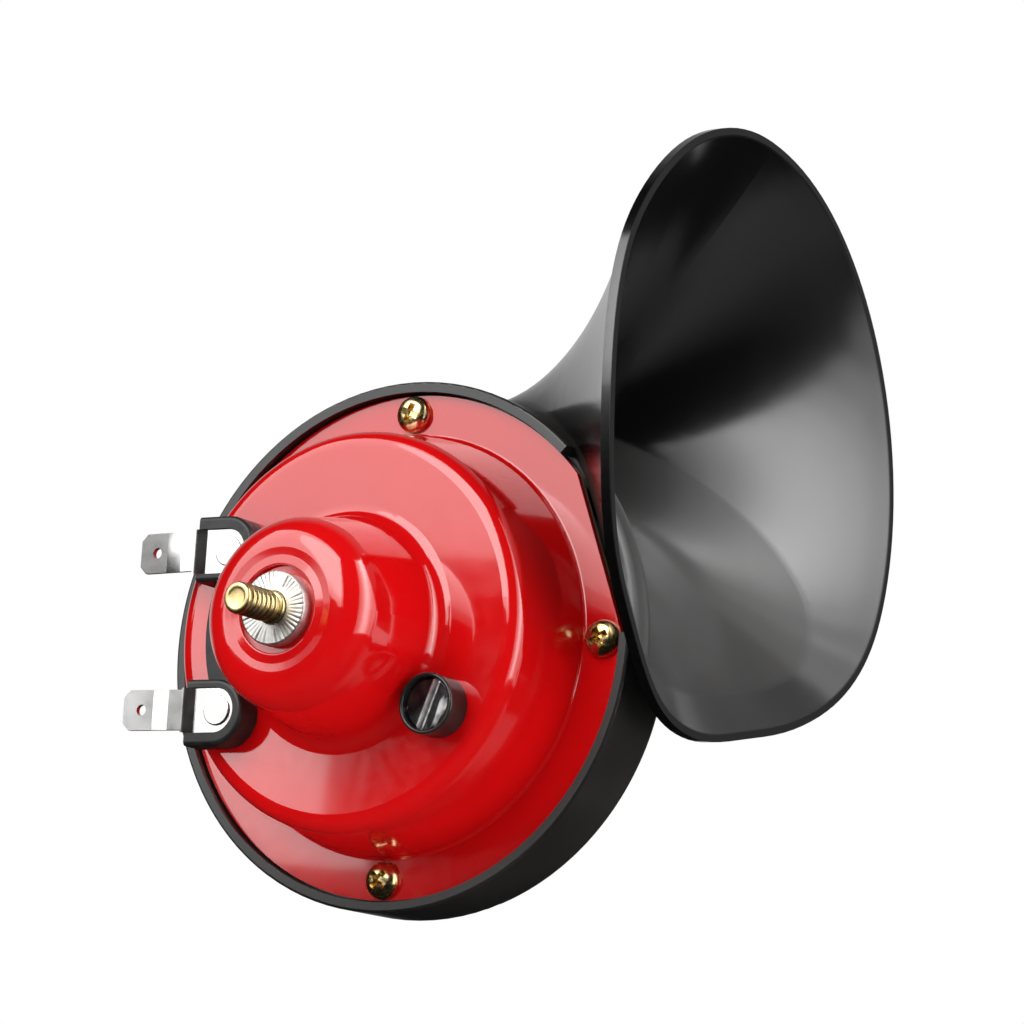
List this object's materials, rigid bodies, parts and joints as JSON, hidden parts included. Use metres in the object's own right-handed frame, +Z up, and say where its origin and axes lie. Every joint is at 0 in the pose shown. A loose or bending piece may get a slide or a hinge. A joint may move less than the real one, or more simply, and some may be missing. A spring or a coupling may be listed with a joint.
{
  "type": "snail horn",
  "caption": "Electric vehicle horn with a red pressed steel housing, a wound and flared black moulded trumpet, a threaded mounting stud and blade terminals.",
  "frame": {"origin": "centre of the stud, in the plane of the serrated washer's outer face that the mounting bracket is clamped against", "axes": "-Y along the stud, out of the housing; +X the way the bell's mouth faces; +Z up, from the lower terminal to the upper one"},
  "size_m": [0.089, 0.1205, 0.1267],
  "materials": {
    "black_moulding": "gloss",
    "black_insulator": "satin",
    "red_paint": "high gloss stoved enamel",
    "yellow_zinc": "yellow passivated zinc",
    "bright_zinc": "bright zinc",
    "nickel": "nickel plate",
    "plain_steel": "turned",
    "spring_steel": "rolled",
    "black_screw": "gloss black",
    "copper": "enamelled wire",
    "contact_metal": "ground",
    "white_nylon": "matt",
    "laminate": "matt",
    "gasket_paper": "matt"
  },
  "bodies": {
    "horn": {"trumpet_body": "black_moulding", "volute_cover": "black_moulding", "magnet_housing": "red_paint", "mounting_stud": "yellow_zinc", "serrated_washer": "bright_zinc", "fixed_core": "plain_steel", "coil_bobbin": "white_nylon", "coil_winding": "copper", "coil_retainer": "plain_steel", "rear_gasket": "gasket_paper", "front_gasket": "gasket_paper", "diaphragm": "spring_steel", "cover_screw_top": "yellow_zinc", "cover_screw_right": "yellow_zinc", "cover_screw_bottom": "yellow_zinc", "cover_screw_left": "yellow_zinc", "terminal_block": "black_insulator", "terminal_tab_upper": "nickel", "terminal_tab_lower": "nickel", "terminal_rivet_upper": "nickel", "terminal_rivet_lower": "nickel", "backing_plate": "laminate", "contact_bracket": "bright_zinc", "fixed_contact": "contact_metal", "contact_insulator": "laminate", "lower_insulator": "laminate", "adjuster_bush": "black_insulator", "coil_lead_supply": "copper", "coil_lead_breaker": "copper", "lead_eye": "bright_zinc"},
    "adjuster": {"adjuster_screw": "black_screw"},
    "armature_group": {"armature": "plain_steel", "diaphragm_washer": "bright_zinc", "armature_nut": "bright_zinc"},
    "contact_leaf": {"contact_arm": "spring_steel", "moving_contact": "contact_metal"}
  },
  "joints": [
    {"name": "adjuster_turn", "type": "hinge", "parent": "horn", "child": "adjuster", "pos_m": [0.0186, 0.0158, -0.0125], "axis": [0, -1, 0], "range_deg": [-180, 180]},
    {"name": "armature_pull", "type": "slide", "parent": "horn", "child": "armature_group", "axis": [0, -1, 0], "range_m": [0, 0.0006], "stiffness_N_per_m": 60000, "deforming": ["diaphragm"]},
    {"name": "contact_leaf_flex", "type": "hinge", "parent": "horn", "child": "contact_leaf", "pos_m": [-0.0168, 0.0222, -0.0125], "axis": [0, 0, -1], "range_deg": [0, 1.6], "deforming": ["contact_arm"]}
  ],
  "couplings": [
    {"joint": "contact_leaf_flex", "follows": "armature_pull", "rad_per_m": 43.6}
  ]
}
